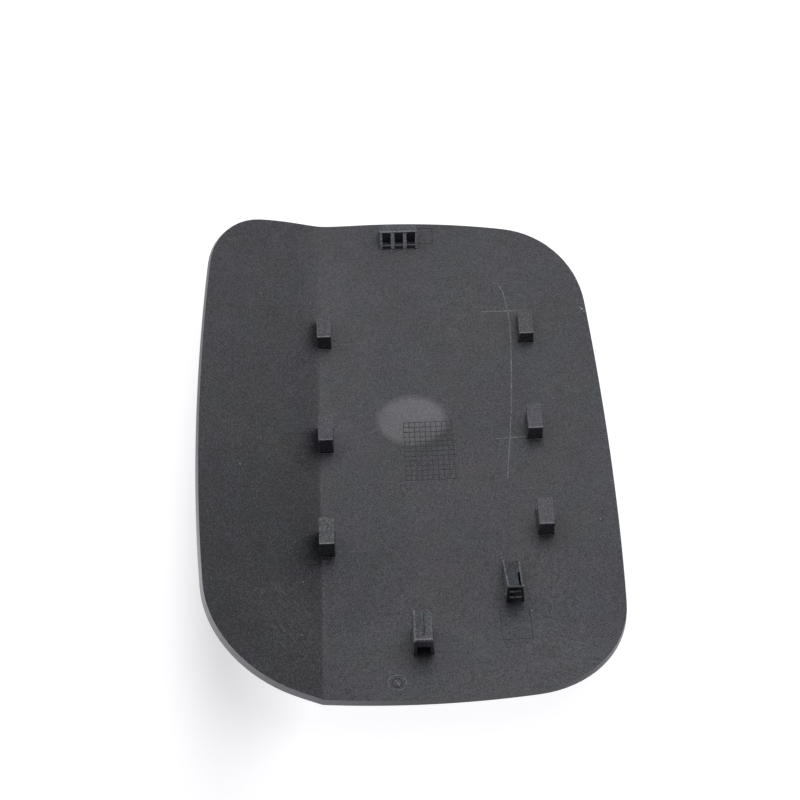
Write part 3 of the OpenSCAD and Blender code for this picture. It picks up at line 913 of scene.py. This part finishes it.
# Plastic of a level of brightness, with patches of dust, blush, scuffs and painted light added as a neutral
# tone and painted shade as a factor
def makePlastic(name, level, contrast, dustAndPaintedLight=None, paintedShade=None, cast="plastic", roughness=None,
                specular=None):
    mat = bpy.data.materials.new(name)
    mat.use_nodes = True
    nodes, links = mat.node_tree.nodes, mat.node_tree.links
    shader = nodes["Principled BSDF"]
    shader.inputs["Roughness"].default_value = roughness or tones["roughness"]
    shader.inputs["Specular IOR Level"].default_value = specular or tones["specular"]
    surface = nodes.new("ShaderNodeGroup")
    surface.node_tree = mouldGrain
    surface.inputs["Contrast"].default_value = contrast
    tone = surface.outputs["Tone"]
    place = nodes.new("ShaderNodeTexCoord").outputs["Object"]
    # painted shade scales the tone
    for patch in (paintedShade or {}).values():
        tone = combine(nodes, links, "ADD", tone, patchLift(nodes, links, place, patch))
    base = nodes.new("ShaderNodeVectorMath")
    base.operation = "SCALE"
    links.new(surface.outputs["Tint"], base.inputs[0])
    links.new(tone, base.inputs["Scale"])
    color = nodes.new("ShaderNodeVectorMath")
    color.operation = "MULTIPLY"
    links.new(base.outputs[0], color.inputs[0])
    color.inputs[1].default_value = [2 * level * c for c in tones[cast]]
    # dust, blush, scuffs and painted light are added as a pale tone
    if dustAndPaintedLight:
        lift = 0.0
        for patch in dustAndPaintedLight.values():
            lift = combine(nodes, links, "ADD", lift, patchLift(nodes, links, place, patch))
        dust = nodes.new("ShaderNodeVectorMath")
        dust.operation = "MULTIPLY_ADD"
        links.new(lift, dust.inputs[0])
        dust.inputs[1].default_value = [level * c for c in tones["pale"]]
        links.new(color.outputs[0], dust.inputs[2])
        color = dust
    links.new(color.outputs[0], shader.inputs["Base Color"])
    links.new(surface.outputs["Normal"], shader.inputs["Normal"])
    return mat


# The photograph's view of the door, in the frame's millimetres
view = {
    "camera": (-12.41, -235.9, 432.4),
    "target": (-1.47, 26.26, 2.5),
    "lens": 60.5,
}


def makeCamera():
    data = bpy.data.cameras.new("camera")
    data.lens = view["lens"]
    data.sensor_width = 36.0
    data.clip_start = 0.01
    camera = bpy.data.objects.new("camera", data)
    bpy.context.scene.collection.objects.link(camera)
    camera.location = Vector(view["camera"]) * mm
    towards = Vector(view["target"]) - Vector(view["camera"])
    camera.rotation_euler = towards.to_track_quat("-Z", "Y").to_euler()
    bpy.context.scene.camera = camera


# Plain studio light: a wide softbox overhead and to the back, and one at the left
lamps = {
    "top": {"from": (0.3, 0.4, 1.1), "size": 1.2, "power": 9.0},
    "left": {"from": (-0.8, 0.5, 0.9), "size": 0.8, "power": 3.2},
    "worldLevel": 0.12,
}


def makeLights():
    for name in ("top", "left"):
        spec = lamps[name]
        data = bpy.data.lights.new(name, "AREA")
        data.shape = "DISK"
        data.size = spec["size"]
        data.energy = spec["power"]
        lamp = bpy.data.objects.new(name, data)
        bpy.context.scene.collection.objects.link(lamp)
        lamp.location = spec["from"]
        lamp.rotation_euler = (-Vector(spec["from"])).to_track_quat("-Z", "Y").to_euler()


def seenDirectly(nodes, links):          # 1 for the camera's rays and for what gloss and glass show
    path = nodes.new("ShaderNodeLightPath")
    total = path.outputs["Is Camera Ray"]
    for kind in ("Is Glossy Ray", "Is Transmission Ray"):
        add = nodes.new("ShaderNodeMath")
        add.operation = "ADD"
        add.use_clamp = True
        links.new(total, add.inputs[0])
        links.new(path.outputs[kind], add.inputs[1])
        total = add.outputs[0]
    return total


def makeWorld():
    world = bpy.data.worlds.new("world")
    world.use_nodes = True
    nodes, links = world.node_tree.nodes, world.node_tree.links
    light = nodes["Background"]
    light.inputs["Color"].default_value = (1, 1, 1, 1)
    light.inputs["Strength"].default_value = lamps["worldLevel"]
    white = nodes.new("ShaderNodeBackground")
    white.inputs["Color"].default_value = (1, 1, 1, 1)
    mix = nodes.new("ShaderNodeMixShader")
    links.new(seenDirectly(nodes, links), mix.inputs["Fac"])
    links.new(light.outputs[0], mix.inputs[1])
    links.new(white.outputs[0], mix.inputs[2])
    links.new(mix.outputs[0], nodes["World Output"].inputs["Surface"])
    bpy.context.scene.world = world


# The floor is near white by itself, and a share of plain white keeps only a faint shadow on it. The share
# is smaller in an ellipse where the flap's lower corner stands over it, a painted shadow deepening the real
# one
floor = {
    "size": 3.0, "color": (0.93, 0.93, 0.95, 1), "roughness": 0.9,
    "glow": (0.98, 0.97, 1.0, 1), "white": 1.3,
    "shadow": {"at": (-65.0, -40.0), "radii": (30.0, 160.0), "share": (0.40, 0.745)},
}


def makeFloor():
    bm = bmesh.new()
    bmesh.ops.create_grid(bm, x_segments=1, y_segments=1, size=floor["size"])
    mesh = bpy.data.meshes.new("floor")
    bm.to_mesh(mesh)
    bm.free()
    ground = bpy.data.objects.new("floor", mesh)
    bpy.context.scene.collection.objects.link(ground)
    mat = bpy.data.materials.new("paleFloor")
    mat.use_nodes = True
    nodes, links = mat.node_tree.nodes, mat.node_tree.links
    shader = nodes["Principled BSDF"]
    shader.inputs["Base Color"].default_value = floor["color"]
    shader.inputs["Roughness"].default_value = floor["roughness"]
    # painted shadow: the share of white is smaller inside the ellipse
    shadow = floor["shadow"]
    around = ellipseSpace(nodes, links, nodes.new("ShaderNodeTexCoord").outputs["Object"])
    around.inputs["Location"].default_value = (shadow["at"][0] * mm, shadow["at"][1] * mm, 0)
    around.inputs["Scale"].default_value = (shadow["radii"][0] * mm, shadow["radii"][1] * mm, 1)
    distance = lengthOf(nodes, links, around.outputs["Vector"])
    whiteShare = mapped(nodes, links, distance, 0, 1, *shadow["share"])
    share = combine(nodes, links, "MULTIPLY", seenDirectly(nodes, links), whiteShare)
    white = nodes.new("ShaderNodeEmission")
    white.inputs["Color"].default_value = floor["glow"]
    white.inputs["Strength"].default_value = floor["white"]
    mix = nodes.new("ShaderNodeMixShader")
    links.new(share, mix.inputs["Fac"])
    links.new(shader.outputs[0], mix.inputs[1])
    links.new(white.outputs[0], mix.inputs[2])
    links.new(mix.outputs[0], nodes["Material Output"].inputs["Surface"])
    ground.data.materials.append(mat)


moulding = makePlastic("blackMoulding", 1.0, 1.0, dustAndPaintedLight=patches, paintedShade=paintedShades)
clipPlastic = makePlastic("clipPlastic", 1.65, 1.0)
# Painted light: a pale copy of the plastic for lit edges and faces
paintedLightPlastic = makePlastic("paintedLightPlastic", 5.0, 0.6, cast="pale")
# The rim's plastic takes rimPatches, a painted reflection on the flap's lower rim corner
rimPlastic = makePlastic("rimPlastic", 1.3, 0.5, dustAndPaintedLight=rimPatches, roughness=0.35, specular=0.6)
# Painted shade: a dark line along the skin's rounded rim edges
rimLine = makePlastic("rimLine", 0.2, 0.5, roughness=0.8, specular=0.05)
paleMark = makePlastic("paleMark", 4.5, 0.6, cast="pale")
faintMark = makePlastic("faintMark", 2.0, 0.8, cast="pale")
# Painted light: much paler plastic for the box fins' fronts
finPlastic = makePlastic("finPlastic", 14.0, 0.4, cast="pale")
# Painted highlight: much paler plastic for the latch's ledges
ledgePlastic = makePlastic("ledgePlastic", 9.0, 0.5, cast="pale")
# Painted highlight: pale plastic for the lines on front edges, sills and feet and for the box's lip
browPlastic = makePlastic("browPlastic", 5.0, 0.5, cast="pale")
# Dark marks, and painted shade on the latch's ladder and the bead's right side
darkMarkAndShade = makePlastic("darkMarkAndShade", 0.45, 0.7)
dustMark = makePlastic("dustMark", 14.0, 0.1, cast="pale")
makeSkin(moulding, rimPlastic, rimLine)
print("skin made")
footing = bmesh.new()
brows = bmesh.new()
for sideName in ("left", "right"):
    column = clips[sideName]
    for row, height, longer in zip((-1, 0, 1), column["heights"], column["longer"]):
        makeClip(f"{sideName}Clip{row + 2}", column["x"], column["y"] + row * column["pitch"], height, longer,
                 column, clipPlastic, paintedLightPlastic, footing, brows)
print("clips made")
makeHood(clipPlastic, paintedLightPlastic, darkMarkAndShade, footing, brows)
makeLatch(clipPlastic, paintedLightPlastic, ledgePlastic, darkMarkAndShade, footing)
makeLocatingBox(clipPlastic, finPlastic, browPlastic, footing, brows)
pieceFrom(footing, "feet", moulding)
# painted highlights on front edges, sills and feet
pieceFrom(brows, "paintedHighlights", browPlastic, smooth=False)
print("hook, latch, box and feet made")
makeMarks(paleMark, faintMark, darkMarkAndShade)
makeClock(paleMark, darkMarkAndShade)
makeWear(paleMark, faintMark, dustMark)
print("mould marks made")
makeCamera()
makeLights()
makeWorld()
makeFloor()
bpy.context.scene.view_settings.view_transform = "Standard"
